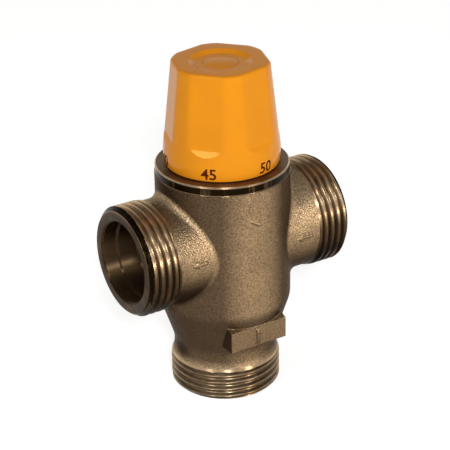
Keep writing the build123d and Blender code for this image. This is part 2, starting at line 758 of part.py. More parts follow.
def shutter():
    """The sleeve with its ribbed hub, open to the flow between the ribs."""
    outer = SHUTTER_DIAMETER / 2
    inner = outer - SHUTTER_WALL
    edge = SHUTTER_WALL / 3
    sleeve = turned(
        (inner, SHUTTER_BOTTOM),
        (outer - edge, SHUTTER_BOTTOM),
        (outer, SHUTTER_BOTTOM + edge),
        (outer, SHUTTER_TOP - edge),
        (outer - edge, SHUTTER_TOP),
        (inner, SHUTTER_TOP),
    )
    hub_bore = BULB_DIAMETER + 2 * RUNNING
    hub = rod(HUB_DIAMETER, HUB_BOTTOM, HUB_TOP)
    spokes = Part()
    for side in range(RIBS):
        arm = Pos(0, 0, HUB_BOTTOM) * Box(
            inner + SHUTTER_WALL / 2, RIB_WIDTH, HUB_HEIGHT,
            align=(Align.MIN, Align.CENTER, Align.MIN),
        )
        spokes = spokes + Rot(0, 0, 90 + side * 360 / RIBS) * arm
    bore = rod(hub_bore, HUB_BOTTOM - OVERCUT, HUB_TOP + OVERCUT)
    return sleeve + ((hub + spokes) - bore)


def clip_bottom():
    """The height of the groove below the hub that takes the element's clip."""
    return HUB_BOTTOM - CLIP_THICKNESS - SEAT_GAP


def wax_element():
    """The wax capsule with its flange, guide and bulb."""
    bulb = BULB_DIAMETER / 2
    groove = bulb - ELEMENT_GROOVE
    flange = FLANGE_DIAMETER / 2
    guide = GUIDE_DIAMETER / 2
    bore = PISTON_DIAMETER / 2 + RUNNING
    floor = PISTON_BOTTOM - PISTON_SPARE
    tip = HUB_TOP - BULB_LENGTH
    clip = clip_bottom()
    return turned(
        (0, tip),
        (bulb - BULB_TIP_CHAMFER, tip),
        (bulb, tip + BULB_TIP_CHAMFER),
        (bulb, clip),
        (groove, clip),
        (groove, clip + CLIP_THICKNESS),
        (bulb, clip + CLIP_THICKNESS),
        (bulb, HUB_TOP),
        (flange, HUB_TOP),
        (flange, FLANGE_TOP - EDGE),
        (flange - EDGE, FLANGE_TOP),
        (guide, FLANGE_TOP),
        (guide, GUIDE_TOP - EDGE),
        (guide - EDGE, GUIDE_TOP),
        (bore, GUIDE_TOP),
        (bore, floor),
        (0, floor),
    )


def element_clip():
    """The snap ring that holds the wax element in the hub."""
    groove = BULB_DIAMETER - 2 * ELEMENT_GROOVE
    outer = groove + 2 * ELEMENT_CLIP_WIDTH
    return snap_ring(groove, outer, clip_bottom(), CLIP_THICKNESS, ELEMENT_CLIP_OPENING)


def return_spring():
    """The spring that lifts the shutter to its upper seat as the water cools."""
    return coil_spring(RETURN_COIL, RETURN_WIRE, GUIDE_RING_TOP, HUB_BOTTOM, RETURN_TURNS)


def spring_guide():
    """The spoked ring on the body's lip that carries the return spring."""
    rim = THROAT_DIAMETER / 2 - RUNNING
    rim_bore = rim - GUIDE_RIM_WALL
    seat = RETURN_COIL / 2 + RETURN_WIRE / 2 + SPRING_SEAT_EDGE
    outer = tube(2 * rim, 2 * rim_bore, SPRING_SEAT, GUIDE_RING_TOP - RETURN_WIRE / 2)
    ring = tube(2 * seat, GUIDE_RING_BORE, SPRING_SEAT, GUIDE_RING_TOP)
    arms = Part()
    for side in range(RIBS):
        arm = Pos(seat - GUIDE_ARM_SINK, 0, SPRING_SEAT) * Box(
            rim_bore - seat + 2 * GUIDE_ARM_SINK, GUIDE_ARM_WIDTH, GUIDE_RING_HEIGHT / 2,
            align=(Align.MIN, Align.CENTER, Align.MIN),
        )
        arms = arms + Rot(0, 0, 90 + side * 360 / RIBS) * arm
    return outer + ring + arms


def shutter_seal():
    """The ring in the partition that the shutter slides through."""
    return o_ring(SHUTTER_RING_SECTION - RUNNING, SHUTTER_DIAMETER + 2 * RUNNING, RUN_HEIGHT)


# Writing the pieces

def write(name, piece):
    """Write one piece, a part or a list of solids, to its own file."""
    solids = []
    for item in piece if isinstance(piece, list) else [piece]:
        solids.extend(item.solids())
    shape = solids[0] if len(solids) == 1 else Compound(children=solids)
    export_step(shape, os.path.join("parts", name + ".step"))


def main():
    os.makedirs("parts", exist_ok=True)
    low_ring, high_ring = ring_levels()
    write("valve_body", valve_body())
    write("bonnet", bonnet())
    write("bonnet_o_ring", bonnet_o_ring())
    write("shutter_seal", shutter_seal())
    write("spring_guide", spring_guide())
    write("setting_cap", cap())
    write("cap_plug", cap_plug())
    write("cap_screw", cap_screw())
    write("screw_washer", screw_washer())
    write("spindle", spindle())
    write("lower_stem_o_ring", stem_o_ring(low_ring))
    write("upper_stem_o_ring", stem_o_ring(high_ring))
    write("stem_clip", stem_clip())
    write("thrust_washer", thrust_washer())
    write("carriage", carriage())
    write("cup_ring", cup_ring())
    write("overtravel_cup", overtravel_cup())
    write("overtravel_spring", overtravel_spring())
    write("element_piston", element_piston())
    write("shutter", shutter())
    write("wax_element", wax_element())
    write("element_clip", element_clip())
    write("return_spring", return_spring())


main()
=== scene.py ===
import json
import math

import bmesh
import bpy
from mathutils import Matrix, Vector


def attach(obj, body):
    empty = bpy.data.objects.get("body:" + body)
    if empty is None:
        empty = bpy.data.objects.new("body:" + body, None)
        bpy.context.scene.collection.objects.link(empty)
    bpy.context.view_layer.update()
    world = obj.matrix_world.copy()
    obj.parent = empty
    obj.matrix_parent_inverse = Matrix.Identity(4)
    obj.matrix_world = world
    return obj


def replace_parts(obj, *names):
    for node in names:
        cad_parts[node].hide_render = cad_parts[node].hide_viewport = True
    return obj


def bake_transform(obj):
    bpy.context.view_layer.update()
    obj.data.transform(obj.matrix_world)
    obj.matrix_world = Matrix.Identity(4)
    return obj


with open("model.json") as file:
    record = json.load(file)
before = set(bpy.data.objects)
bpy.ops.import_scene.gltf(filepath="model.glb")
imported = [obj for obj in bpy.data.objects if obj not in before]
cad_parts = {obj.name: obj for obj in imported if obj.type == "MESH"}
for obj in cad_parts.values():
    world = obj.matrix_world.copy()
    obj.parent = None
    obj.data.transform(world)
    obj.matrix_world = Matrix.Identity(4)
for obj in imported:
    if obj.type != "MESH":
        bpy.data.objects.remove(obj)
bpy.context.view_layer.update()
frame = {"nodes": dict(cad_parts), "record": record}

# The frame's own unit is the metre, and the sizes below are in millimetres
MM = 0.001

# Corners nearer to each other than this are joined
JOIN_DISTANCE = 0.0005

# Body
RUN_HEIGHT = 48.8
HALF_RUN = 34.8
RIM_HEIGHT = 72.8
RIM_BAND = 2.8
BAND_RADIUS = 19.9
BARREL_RADIUS = 20.1
NECK_RADIUS = 16.0
PAD_FACE = 19.0
PAD_TOP = 26.5

# Turned length of each port end, and the machined inside
PORT_END = 10.7
MOUTH_RADIUS = 12.75
WELL_RADIUS = 13.6
CHAMBER_RADIUS = 17.0
CHAMBER_LOW = 38.0
CHAMBER_HIGH = 60.0

# Finishes of the body, in the order of its materials
CAST = 0
TURNED = 1
BAND = 2
BORE = 3

# Pipe thread of the three ports
CREST = 16.6245
DEPTH = 1.3
PITCH = 2.309
CREST_FLAT = 0.8
FLANK = 0.56
CHAMFER = 1.3
CHAMFER_OVERLAP = 0.3
THREAD_START = 0.04
RUNOUT_START = 9.25
THREAD_END = 9.9
COLLAR_RADIUS = 16.3
THREAD_ROUNDING = 0.24
THREAD_SEGMENTS = 168
THREAD_ROWS = 18

# The body's faces that the thread replaces lie outside this radius
OLD_THREAD_RADIUS = 14.6

# Setting cap
CAP_BOTTOM = 73.1
CAP_TOP = 104.2
FOOT_RADIUS = 16.9
SKIRT_RADIUS = 17.35
SKIRT_TOP = 77.4
SKIRT_BULGE = 0.11
TOP_RADIUS = 14.5
FLATS = 6
FLAT_DEPTH = 0.85
LEDGE_TOP = 82.3
LEDGE_LOW = 80.4
CAP_TURN = 41.5
CAP_EDGE = 0.8
CAP_BLEND = 0.32
EDGE_STEPS = 8
FOOT_ROUNDING = 0.3
DISH_RADIUS = 9.1
DISH_FLOOR = 103.3
DISH_SLOPE = 1.7
CAP_SEGMENTS = 288

# Spacing of the cap's rows on its skirt, its ledges and its sides
SKIRT_STEP = 0.7
LEDGE_STEP = 0.1
SIDE_STEP = 1.3

# The cap's solid inside these is kept, and its outside is rebuilt
CAP_WALL = 1.2
FOOT_INSIDE = 15.2
TOP_INSIDE = 12.2
TOP_HEIGHT = 101.2

# Raised marks on the casting, and the lift and outward spread of each ring of a mark
MARK_STEP = 0.4
MARK_RINGS = ((-0.25, 0.3), (0.1, 0.16), (0.34, 0.04), (0.42, -0.12))
BARREL_MARK_SHARE = 0.35
ARROW_HEAD = 1.9
ARROW_WIDTH = 1.9
ARROW_SHAFT = 0.7

# Numbers printed on the cap's skirt
NUMBERS = (45, 50, 55, 60, 35, 40)
FIRST_NUMBER = 224.5
NUMBER_HEIGHT = 3.5
NUMBER_WEIGHT = 0.02
NUMBER_FOOT = 73.85
NUMBER_STEP = 0.5
NUMBER_BANDS = 4
INK_LIFT = 0.025

# Surfaces
CORNER_SAMPLES = 8
EDGE_SAMPLES = 4
EDGE_TINT = (0.5, 0.5, 0.5, 1.0)
GROOVE_TINT = (0.75, 0.75, 0.75, 1.0)
# Width of the painted highlight lines at the band's foot and top
BAND_EDGE = 0.3
CAP_IOR = 1.24
RING_GLINT = 0.9
AXIS_PULL = 1.8

# Where a painted sheen brightens the barrel's front and back, and how much of it is left on the pads
# and below
SHEEN_AZIMUTH = 267
SHEEN_START = 0.86
SHEEN_FULL = 0.995
PAD_FADE = 4
PAD_SHEEN = 0.55

# Nearer to a side port's end than this, tool rings go round the run
RING_REACH = 12

# Light
WORLD_LIGHT = 0.25
CEILING = 0.26
CEILING_START = 0.04
CEILING_END = 0.6
FLOOR_LIFT = 0.66
FLOOR_RADIUS = 6000
FLOOR_DROP = 0.02

# Lamps: the azimuth and rise they stand at, their size, their power and their tint
LAMP_DISTANCE = 900
LAMPS = {
    "cool": (243, 30, (100, 100), 3.0, (0.95, 0.98, 1.0)),
    "warm": (287, 6, (150, 90), 2.4, (1.0, 0.93, 0.82)),
    "side": (203.5, 31, (52, 52), 1.55, (1.0, 0.97, 0.92)),
}

# Camera, from the ellipses of the ports and the rim in the photograph
CAMERA_AZIMUTH = -32.091
CAMERA_ELEVATION = 26.111
CAMERA_DISTANCE = 529.59
CAMERA_YAW = -0.058
CAMERA_PITCH = 0.138
CAMERA_ROLL = 0.994
AIM_HEIGHT = 50.0
FOCAL_PIXELS = 1766.0
IMAGE_PIXELS = 450
SENSOR = 36.0


# Node materials

class Look:
    """A node material, with short ways to add and join its nodes."""

    def __init__(self, name):
        self.material = bpy.data.materials.new(name)
        self.material.use_nodes = True
        self.tree = self.material.node_tree
        self.shader = self.tree.nodes["Principled BSDF"]
        self.place = self.add("TexCoord").outputs["Object"]

    def add(self, kind, inputs=None, **settings):
        node = self.tree.nodes.new("ShaderNode" + kind)
        for key, value in settings.items():
            setattr(node, key, value)
        for key, value in (inputs or {}).items():
            self.feed(node.inputs[key], value)
        return node

    def feed(self, socket, value):
        if isinstance(value, bpy.types.NodeSocket):
            self.tree.links.new(value, socket)
        else:
            socket.default_value = value

    def set(self, **values):
        """Set or link the shader's own sockets, named with underscores for spaces."""
        for key, value in values.items():
            self.feed(self.shader.inputs[key.replace("_", " ")], value)

    def noise(self, size, detail=3.0, rough=0.55, place=None):
        """A noise whose features are about that many millimetres across."""
        node = self.add("TexNoise", {
            "Vector": place or self.place,
            "Scale": 1 / (size * MM),
            "Detail": detail,
            "Roughness": rough,
        })
        return node.outputs["Fac"]

    def stretch(self, x, y, z):
        """The object's coordinates, scaled along each axis."""
        return self.add("Mapping", {"Vector": self.place, "Scale": (x, y, z)}).outputs["Vector"]

    def math(self, operation, first, second=0.0):
        node = self.add("Math", {0: first, 1: second}, operation=operation)
        return node.outputs[0]

    def vector(self, operation, first, second):
        node = self.add("VectorMath", {0: first, 1: second}, operation=operation)
        return node.outputs["Vector"]

    def spread(self, value, low, high, to_low=0.0, to_high=1.0):
        node = self.add("MapRange", {
            "Value": value,
            "From Min": low,
            "From Max": high,
            "To Min": to_low,
            "To Max": to_high,
        })
        return node.outputs["Result"]

    def blend(self, share, first, second):
        node = self.add("Mix", data_type="RGBA")
        self.feed(node.inputs["Factor"], share)
        colours = [s for s in node.inputs if s.type == "RGBA"]
        self.feed(colours[0], first)
        self.feed(colours[1], second)
        return [s for s in node.outputs if s.type == "RGBA"][0]

    def openness(self, reach, low, high):
        """0 deep in a groove or corner, 1 where nothing is near within that many millimetres; it masks
        painted shade.
        """
        node = self.add("AmbientOcclusion", {"Distance": reach * MM}, samples=CORNER_SAMPLES)
        return self.spread(node.outputs["AO"], low, high)

    def softened(self, radius):
        """The normal with its edges rounded by that many millimetres."""
        node = self.add("Bevel", {"Radius": radius * MM}, samples=EDGE_SAMPLES)
        return node.outputs["Normal"]

    def height(self):
        """The height over the ground, in metres."""
        return self.add("SeparateXYZ", {"Vector": self.place}).outputs["Z"]

    def facing_up(self):
        """-1 where the surface faces the ground, 1 where it faces the sky."""
        normal = self.add("TexCoord").outputs["Normal"]
        return self.add("SeparateXYZ", {"Vector": normal}).outputs["Z"]

    def facing_sideways(self):
        """1 where the surface faces along the run of the side ports, as their end faces do."""
        normal = self.add("TexCoord").outputs["Normal"]
        return self.math("ABSOLUTE", self.add("SeparateXYZ", {"Vector": normal}).outputs["X"])

    def by_facing(self, down, level, up, reach=0.7):
        """A colour with painted shade on undersides and a painted highlight on what faces the sky."""
        facing = self.facing_up()
        lower = self.blend(self.spread(facing, -reach, 0.0), down, level)
        return self.blend(self.spread(facing, 0.05, 0.5), lower, up)

    def rubbed(self):
        """1 on the front and back of the barrel, which a painted sheen brightens, and 0 round its
        sides.
        """
        normal = self.add("TexCoord").outputs["Normal"]
        turn = math.radians(SHEEN_AZIMUTH)
        front = (math.cos(turn), math.sin(turn), 0)
        toward = self.add("VectorMath", {0: normal, 1: front}, operation="DOT_PRODUCT")
        facing = self.math("ABSOLUTE", toward.outputs["Value"])
        return self.spread(facing, SHEEN_START, SHEEN_FULL)

    def at_side_port(self, along):
        """1 near the end of a side port and 0 elsewhere."""
        return self.math("GREATER_THAN", self.math("ABSOLUTE", along), (HALF_RUN - RING_REACH) * MM)

    def lathe_rings(self, pitch):
        """Rings about the axis on which each surface was turned, from -1 to 1."""
        split = self.add("SeparateXYZ", {"Vector": self.place}).outputs
        up = self.math("SUBTRACT", split["Z"], RUN_HEIGHT * MM)
        about_z = self.length(split["X"], split["Y"])
        about_run = self.length(up, split["Y"])
        side = self.at_side_port(split["X"])
        change = self.math("MULTIPLY", side, self.math("SUBTRACT", about_run, about_z))
        radius = self.math("ADD", about_z, change)
        return self.math("SINE", self.math("MULTIPLY", radius, 2 * math.pi / (pitch * MM)))

    def across_rings(self):
        """The direction across the tool rings, along which they draw out each glint."""
        middle = (0, 0, RUN_HEIGHT * MM)
        offset = self.vector("SUBTRACT", self.place, middle)
        split = self.add("SeparateXYZ", {"Vector": offset}).outputs
        side = self.at_side_port(split["X"])
        upright = self.math("SUBTRACT", 1.0, side)
        keep = self.add("CombineXYZ", {"X": upright, "Y": 1.0, "Z": side}).outputs["Vector"]
        flat = self.vector("MULTIPLY", offset, keep)
        radial = self.add("VectorMath", {0: flat}, operation="NORMALIZE").outputs["Vector"]
        axis = self.add("CombineXYZ", {"X": side, "Y": 0.0, "Z": upright}).outputs["Vector"]
        along = self.vector("MULTIPLY", axis, (AXIS_PULL, AXIS_PULL, AXIS_PULL))
        world = self.add(
            "VectorTransform",
            {"Vector": self.vector("ADD", radial, along)},
            vector_type="VECTOR",
            convert_from="OBJECT",
            convert_to="WORLD",
        )
        return world.outputs["Vector"]

    def length(self, first, second):
        both = self.add("CombineXYZ", {"X": first, "Y": second}).outputs["Vector"]
        return self.add("VectorMath", {0: both}, operation="LENGTH").outputs["Value"]

    def bump(self, height, depth, under=None):
        """A bump whose full height is that many millimetres."""
        inputs = {"Height": height, "Distance": depth * MM}
        if under:
            inputs["Normal"] = under
        return self.add("Bump", inputs).outputs["Normal"]


def colour(red, green, blue):
    """A colour given as it looks on screen, from 0 to 255."""
    def linear(part):
        part = part / 255
        return part / 12.92 if part <= 0.04045 else ((part + 0.055) / 1.055) ** 2.4
    return (linear(red), linear(green), linear(blue), 1.0)


def cast_metal():
    """The shot-blasted skin of the casting: pits, bright grains and tarnish, with painted shade in
    corners, on undersides and on the pads' ends, a painted highlight on what faces up and a painted
    sheen on the barrel's front and back.
    """
    look = Look("cast_metal")
    grain = look.noise(0.5, detail=2.0, rough=0.6)
    fine = look.noise(0.2, detail=1.0)
    cloud = look.noise(11, detail=3.0)
    # A painted sheen brightens the barrel's front and back, less on the pads and below them.
    above_pads = look.spread(look.height(), PAD_TOP * MM, (PAD_TOP + PAD_FADE) * MM, PAD_SHEEN, 1.0)
    sheen = look.math("MULTIPLY", look.rubbed(), above_pads)
    level = look.blend(sheen, colour(98, 79, 60), colour(158, 131, 99))
    # Painted shade on undersides and a painted highlight on what faces up.
    skin = look.by_facing(colour(60, 46, 33), level, colour(206, 176, 138))
    # Painted shade on faces turned along the run, such as the pads' ends.
    skin = look.blend(look.spread(look.facing_sideways(), 0.96, 1.0), skin, colour(60, 46, 33))
    in_grain = look.spread(grain, 0.37, 0.63, 0.54, 0.0)
    in_cloud = look.spread(cloud, 0.45, 0.75, 0.0, 0.2)
    tarnished = look.blend(look.math("ADD", in_grain, in_cloud), skin, colour(50, 38, 27))
    # The base colour takes painted shade in corners and creases.
    look.set(
        Base_Color=look.blend(look.openness(4, 0.05, 0.5), colour(50, 38, 26), tarnished),
        Metallic=1.0,
        Roughness=look.spread(fine, 0.3, 0.7, 0.34, 0.46),
        Specular_Tint=EDGE_TINT,
    )
    waves = look.bump(cloud, 0.2, look.softened(0.45))
    pits = look.bump(grain, 0.2, waves)
    look.set(Normal=look.bump(fine, 0.014, pits))
    return look.material


def turned_metal():
    """The machined threads and faces, with tool rings and stains, painted shade in the thread roots, on
    undersides and on the end faces, and a painted highlight on what faces up.
    """
    look = Look("turned_metal")
    marks = look.noise(0.9, detail=4.0, rough=0.7)
    stain = look.noise(5, detail=3.0)
    # Painted shade on undersides and a painted highlight on what faces up.
    shaded_tone = look.by_facing(colour(24, 17, 10), colour(84, 66, 47), colour(216, 186, 148), 0.4)
    # Faces turned straight up, such as the rim's top, take a plainer tone in place of that painted
    # highlight.
    on_top = look.spread(look.facing_up(), 0.85, 1.0)
    shaded_tone = look.blend(on_top, shaded_tone, colour(132, 108, 80))
    # Painted shade on the ports' end faces.
    on_ends = look.spread(look.facing_sideways(), 0.95, 1.0)
    shaded_tone = look.blend(on_ends, shaded_tone, colour(56, 44, 31))
    stained = look.blend(look.spread(stain, 0.45, 0.7, 0.0, 0.5), shaded_tone, colour(98, 70, 42))
    # The base colour takes painted shade in the thread roots and other grooves.
    look.set(
        Base_Color=look.blend(look.openness(1.6, 0.0, 0.5), colour(58, 44, 30), stained),
        Metallic=1.0,
        Roughness=look.spread(marks, 0.3, 0.7, 0.28, 0.4),
        Anisotropic=RING_GLINT,
        Tangent=look.across_rings(),
        Specular_Tint=GROOVE_TINT,
    )
    rings = look.bump(look.lathe_rings(0.22), 0.0025, look.softened(0.12))
    look.set(Normal=look.bump(marks, 0.01, rings))
    return look.material


def band_metal():
    """The polished band under the rim and the side ports' chamfers, painted dark as a painted
    reflection of dark surroundings.

    Two painted highlights, bright lines, edge the band.
    """
    look = Look("band_metal")
    streaks = look.noise(3.0, detail=3.0, place=look.stretch(1, 1, 0.12))
    # The dark tones are a painted reflection of dark surroundings, streaked at random.
    dark = look.blend(look.spread(streaks, 0.56, 0.64), colour(26, 17, 8), colour(68, 53, 37))
    height = look.height()
    low = (RIM_HEIGHT - RIM_BAND) * MM
    top = RIM_HEIGHT * MM
    line = BAND_EDGE * MM
    # Painted highlights: bright lines at the band's foot and at its top.
    on_band = look.math("GREATER_THAN", height, low - line)
    foot_glint = look.math("MULTIPLY", look.spread(height, low + line, low), on_band)
    top_glint = look.spread(height, top - 2 * line, top - line)
    edge = look.math("MAXIMUM", foot_glint, top_glint)
    look.set(
        Base_Color=look.blend(edge, dark, colour(172, 146, 114)),
        Metallic=1.0,
        Roughness=look.spread(streaks, 0.3, 0.7, 0.2, 0.3),
        Anisotropic=RING_GLINT,
        Tangent=look.across_rings(),
        Specular_Tint=GROOVE_TINT,
    )
    look.set(Normal=look.softened(0.1))
    return look.material


def bore_metal():
    """The dark machined inside of the ports: painted shade deep inside, on its steps and on undersides,
    and a painted highlight on what faces up.
    """
    look = Look("bore_metal")
    marks = look.noise(1.4, detail=3.0, rough=0.65)
    # Painted shade on undersides and a painted highlight on what faces up.
    shaded_tone = look.by_facing(colour(56, 42, 28), colour(128, 102, 74), colour(150, 122, 90), 0.4)
    # Painted shade on the steps and other faces turned along the run.
    shaded_tone = look.blend(look.spread(look.facing_sideways(), 0.4, 0.7), shaded_tone, colour(48, 36, 24))
    tone = look.blend(look.spread(marks, 0.35, 0.65, 0.0, 0.4), shaded_tone, colour(84, 60, 40))
    # The base colour takes painted shade deep inside the ports.
    look.set(
        Base_Color=look.blend(look.openness(14, 0.05, 0.6), colour(40, 29, 19), tone),
        Metallic=1.0,
        Roughness=look.spread(marks, 0.3, 0.7, 0.28, 0.38),
        Anisotropic=RING_GLINT,
        Tangent=look.across_rings(),
        Specular_Tint=GROOVE_TINT,
    )
    look.set(Normal=look.bump(look.lathe_rings(0.3), 0.003, look.softened(0.12)))
    return look.material


def cap_plastic():
    """The glossy moulded plastic of the cap."""
    look = Look("cap_plastic")
    cloud = look.noise(9, detail=2.0)
    skin = look.noise(0.5, detail=2.0)
    look.set(
        Base_Color=look.blend(look.spread(cloud, 0.3, 0.7), colour(236, 149, 26), colour(232, 144, 30)),
        Roughness=look.spread(skin, 0.3, 0.7, 0.17, 0.23),
        Specular_Tint=colour(246, 240, 146),
        IOR=CAP_IOR,
    )
    look.set(Normal=look.bump(skin, 0.0015, look.softened(0.25)))
    return look.material


def print_ink():
    """The dark print on the cap's skirt."""
    look = Look("print_ink")
    worn = look.noise(0.4, detail=2.0)
    look.set(
        Base_Color=look.blend(look.spread(worn, 0.4, 0.8), colour(84, 34, 8), colour(104, 48, 12)),
        Roughness=0.5,
        Specular_IOR_Level=0.0,
    )
    return look.material


def plain_metal(name, light, dark, low, high, size=0.8):
    """A drawn or turned metal whose tone and roughness vary a little."""
    look = Look(name)
    marks = look.noise(size, detail=3.0)
    look.set(
        Base_Color=look.blend(marks, light, dark),
        Metallic=1.0,
        Roughness=look.spread(marks, 0.3, 0.7, low, high),
    )
    look.set(Normal=look.bump(marks, 0.004))
    return look.material


def plain_plastic(name, light, dark, low, high, size=0.6):
    """A moulded plastic or rubber with a fine skin."""
    look = Look(name)
    skin = look.noise(size, detail=3.0)
    look.set(
        Base_Color=look.blend(skin, light, dark),
        Roughness=look.spread(skin, 0.3, 0.7, low, high),
    )
    look.set(Normal=look.bump(skin, 0.006))
    return look.material


# Meshes

def finished(name, mesh, materials, body, sharp=34.0):
    """An object from a bmesh, smooth but for its sharp edges, that rides on a body if one is named."""
    data = bpy.data.meshes.new(name)
    bmesh.ops.recalc_face_normals(mesh, faces=mesh.faces)
    mesh.to_mesh(data)
    mesh.free()
    stale = data.attributes.get("custom_normal")
    if stale:
        data.attributes.remove(stale)
    for material in materials:
        data.materials.append(material)
    data.polygons.foreach_set("use_smooth", [True] * len(data.polygons))
    data.set_sharp_from_angle(angle=math.radians(sharp))
    piece = bpy.data.objects.new(name, data)
    bpy.context.scene.collection.objects.link(piece)
    if body:
        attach(piece, body)
    return piece


def copied(node):
    """A bmesh of a CAD node with its split corners joined."""
    mesh = bmesh.new()
    mesh.from_mesh(frame["nodes"][node].data)
    bmesh.ops.remove_doubles(mesh, verts=mesh.verts, dist=JOIN_DISTANCE * MM)
    return mesh


def border_loops(mesh):
    """The open borders of a mesh, each as a list of its edges."""
    left = dict.fromkeys(edge for edge in mesh.edges if edge.is_boundary)
    loops = []
    while left:
        edge = left.popitem()[0]
        loop = [edge]
        ends = list(edge.verts)
        while ends:
            corner = ends.pop()
            for other in corner.link_edges:
                if other in left:
                    left.pop(other)
                    loop.append(other)
                    ends.append(other.other_vert(corner))
        loops.append(loop)
    return loops


def join_borders(mesh):
    """Close each pair of borders that lie along each other."""
    loops = border_loops(mesh)
    while len(loops) > 1:
        loop = loops.pop()
        centre = sum((e.verts[0].co for e in loop), Vector()) / len(loop)
        radius = (loop[0].verts[0].co - centre).length

        def apart(other):
            middle = sum((e.verts[0].co for e in other), Vector()) / len(other)
            size = (other[0].verts[0].co - middle).length
            return (middle - centre).length + abs(size - radius)

        mate = min(loops, key=apart)
        loops.remove(mate)
        bmesh.ops.bridge_loops(mesh, edges=loop + mate)


class Port:
    """One threaded port: its face's centre, outward axis and a direction to count turns from."""

    def __init__(self, centre, axis, start, first_crest):
        self.centre = Vector(centre) * MM
        self.axis = Vector(axis)
        self.start = Vector(start)
        self.side = self.start.cross(self.axis)
        self.first_crest = first_crest

    def depth(self, point):
        return (self.centre - point).dot(self.axis) / MM

    def radius(self, point):
        offset = point - self.centre
        return (offset - self.axis * offset.dot(self.axis)).length / MM

    def point(self, radius, turn, depth):
        across = self.start * math.cos(turn) + self.side * math.sin(turn)
        return self.centre + (across * radius - self.axis * depth) * MM


PORTS = [
    Port((-HALF_RUN, 0, RUN_HEIGHT), (-1, 0, 0), (0, -0.95, 0.33), 1.62),
    Port((HALF_RUN, 0, RUN_HEIGHT), (1, 0, 0), (0, -0.95, 0.33), 1.62),
    Port((0, 0, 0), (0, 0, -1), (-0.53, -0.85, 0), 1.35),
]


def thread_height(offset):
    """The share of the thread's depth at a distance along the axis from a crest.

    It is the mean of five places close together, which rounds the corners.
    """
    total = 0.0
    for step in range(-2, 3):
        place = abs((offset + step * THREAD_ROUNDING / 4 + PITCH / 2) % PITCH - PITCH / 2)
        total += min(max((CREST_FLAT / 2 + FLANK - place) / FLANK, 0.0), 1.0)
    return total / 5


def thread_radius(port, depth, turn):
    """The radius of a port's helical thread, with its chamfer and its run-out."""
    crest_at = port.first_crest + PITCH * turn / (2 * math.pi)
    radius = CREST - DEPTH * (1 - thread_height(depth - crest_at))
    radius = min(radius, CREST - CHAMFER + depth)
    if depth > RUNOUT_START:
        share = (depth - RUNOUT_START) / (THREAD_END - RUNOUT_START)
        radius = max(radius, CREST - DEPTH + share * (COLLAR_RADIUS - CREST + DEPTH))
        radius = min(radius, CREST + share * (COLLAR_RADIUS - CREST))
    return radius


def add_thread(mesh, port):
    """A helical sheet from the port's chamfer to its collar, right-handed."""
    low = THREAD_START
    high = THREAD_END
    corners = {}

    def corner(step, row):
        row = row + THREAD_ROWS * (step // THREAD_SEGMENTS)
        step = step % THREAD_SEGMENTS
        turn = 2 * math.pi * step / THREAD_SEGMENTS
        depth = row * PITCH / THREAD_ROWS + PITCH * step / THREAD_SEGMENTS
        key = (step, row)
        if depth <= low:
            depth, key = low, (step, "low")
        if depth >= high:
            depth, key = high, (step, "high")
        if key not in corners:
            place = port.point(thread_radius(port, depth, turn), turn, depth)
            corners[key] = mesh.verts.new(place)
        return corners[key]

    rows = int(high / PITCH * THREAD_ROWS) + 2
    for row in range(-THREAD_ROWS - 1, rows):
        for step in range(THREAD_SEGMENTS):
            ring = [corner(step, row), corner(step + 1, row)]
            ring += [corner(step + 1, row + 1), corner(step, row + 1)]
            ring = [v for n, v in enumerate(ring) if v is not ring[n - 1]]
            if len(ring) > 2 and len(set(ring)) == len(ring):
                mesh.faces.new(ring)


def region(point):
    """Which finish a point of the body has."""
    x, y, z = point / MM
    radius = math.hypot(x, y)
    from_run = math.hypot(y, z - RUN_HEIGHT)
    over_band_foot = z > RIM_HEIGHT - RIM_BAND - 0.05
    if over_band_foot and radius > BAND_RADIUS - 0.15:
        return BAND if z < RIM_HEIGHT - 0.4 else TURNED
    if abs(x) > HALF_RUN - PORT_END:
        outer = from_run > CREST - CHAMFER - CHAMFER_OVERLAP
        if outer and HALF_RUN - CHAMFER < abs(x) < HALF_RUN - 0.03:
            return BAND
        return BORE if from_run < MOUTH_RADIUS else TURNED
    in_branch = from_run < MOUTH_RADIUS and abs(x) > CHAMBER_RADIUS
    in_chamber = radius < CHAMBER_RADIUS and CHAMBER_LOW < z < CHAMBER_HIGH
    if radius < WELL_RADIUS or in_branch or in_chamber:
        return BORE
    return TURNED if z < PORT_END or over_band_foot else CAST


def offset(outline, distance):
    """A closed outline of (along, across) corners moved outwards."""
    moved = []
    for n, here in enumerate(outline):
        before = here - outline[n - 1]
        after = outline[(n + 1) % len(outline)] - here
        out = Vector((before.y, -before.x)).normalized() + Vector((after.y, -after.x)).normalized()
        moved.append(here + out * (distance / max(out.length_squared / 2, 0.6)))
    return moved


def add_mark(mesh, outline, surface, share=1.0):
    """A raised mark on the casting, from an anticlockwise outline laid on a surface."""
    corners = []
    for n, here in enumerate(outline):
        after = outline[(n + 1) % len(outline)]
        steps = max(int((Vector(after) - Vector(here)).length / MARK_STEP), 1)
        corners += [Vector(here).lerp(Vector(after), step / steps) for step in range(steps)]
    rings = []
    for lift, spread in MARK_RINGS:
        height = lift * share
        rings.append([mesh.verts.new(surface(p.x, p.y, height)) for p in offset(corners, spread)])
    for lower, upper in zip(rings, rings[1:]):
        for n in range(len(corners)):
            mesh.faces.new((lower[n - 1], lower[n], upper[n], upper[n - 1]))
    mesh.faces.new(rings[-1])
    mesh.faces.new(reversed(rings[0]))


def arrow(length):
    """An arrow that points along the negative direction, about its middle."""
    tail = length / 2
    neck = ARROW_HEAD - tail
    half = ARROW_WIDTH / 2
    thin = ARROW_SHAFT / 2
    lower = [(-tail, 0), (neck, -half), (neck, -thin), (tail, -thin)]
    upper = [(tail, thin), (neck, thin), (neck, half)]
    return lower + upper


